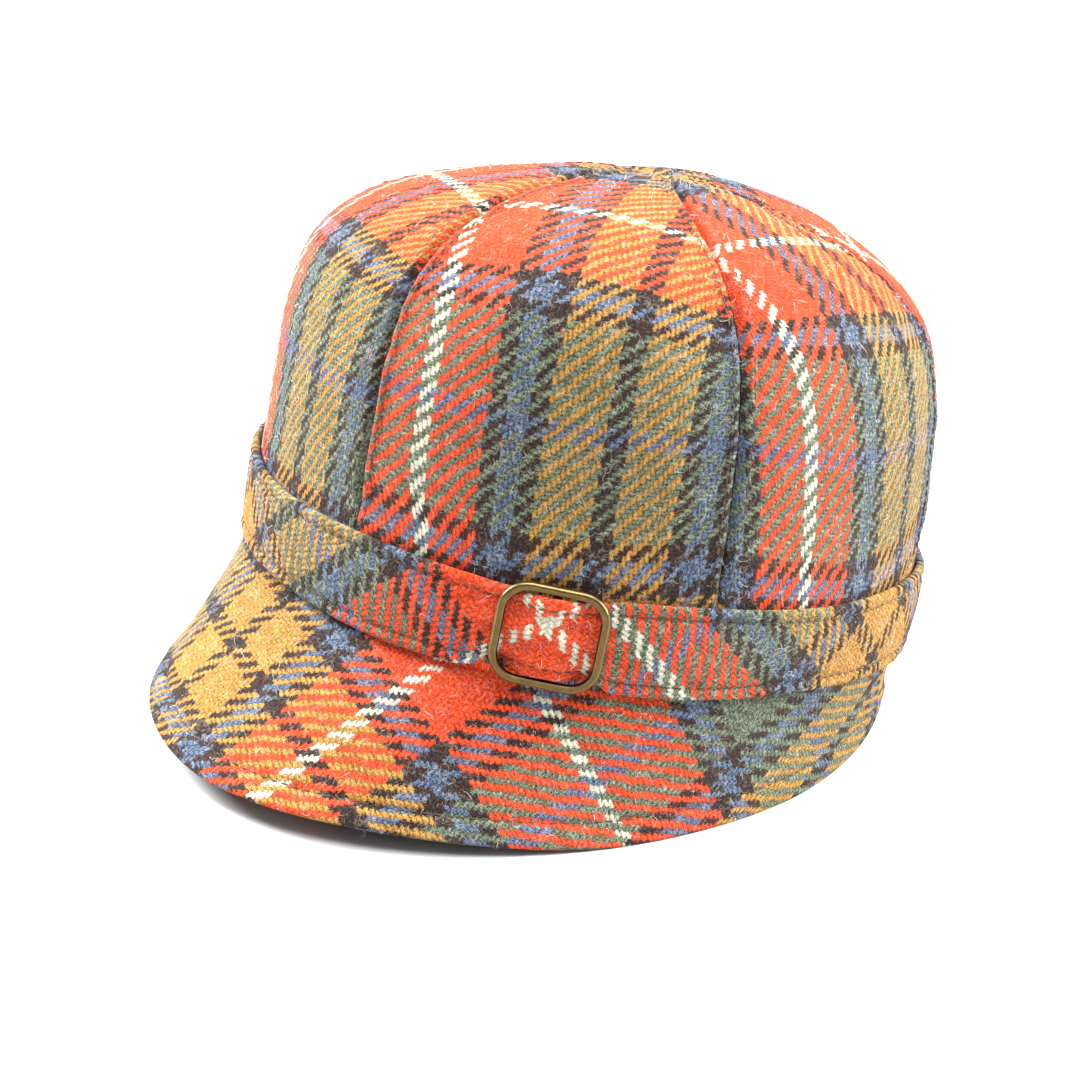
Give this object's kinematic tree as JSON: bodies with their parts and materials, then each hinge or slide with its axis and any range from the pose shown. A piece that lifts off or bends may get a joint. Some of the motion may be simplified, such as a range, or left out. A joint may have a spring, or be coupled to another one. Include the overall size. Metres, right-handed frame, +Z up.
{
  "type": "cloche hat",
  "caption": "Soft gored cloche hat in tweed plaid, with a folded band run through a brass buckle and a flared brim that is deeper at the front.",
  "frame": {"origin": "middle of the bounding box's underside, on the surface that the hat stands on", "axes": "+Z up, -Y towards the front of the hat, +X towards the wearer's left"},
  "size_m": [0.187, 0.2484, 0.1494],
  "materials": {
    "crown_tweed": "wool tweed in a traditional red, ochre, green and blue plaid, woven in twill",
    "band_tweed": "the same tweed cut on the bias, folded and topstitched",
    "brim_tweed": "the same tweed cut on the bias, doubled and topstitched at its edge",
    "aged_brass": "aged, satin, brighter on its bevels"
  },
  "bodies": {
    "root": {"crown_panel_1": "crown_tweed", "crown_panel_2": "crown_tweed", "crown_panel_3": "crown_tweed", "crown_panel_4": "crown_tweed", "crown_panel_5": "crown_tweed", "crown_panel_6": "crown_tweed", "hat_band": "band_tweed", "brim": "brim_tweed", "buckle": "aged_brass"}
  },
  "joints": []
}
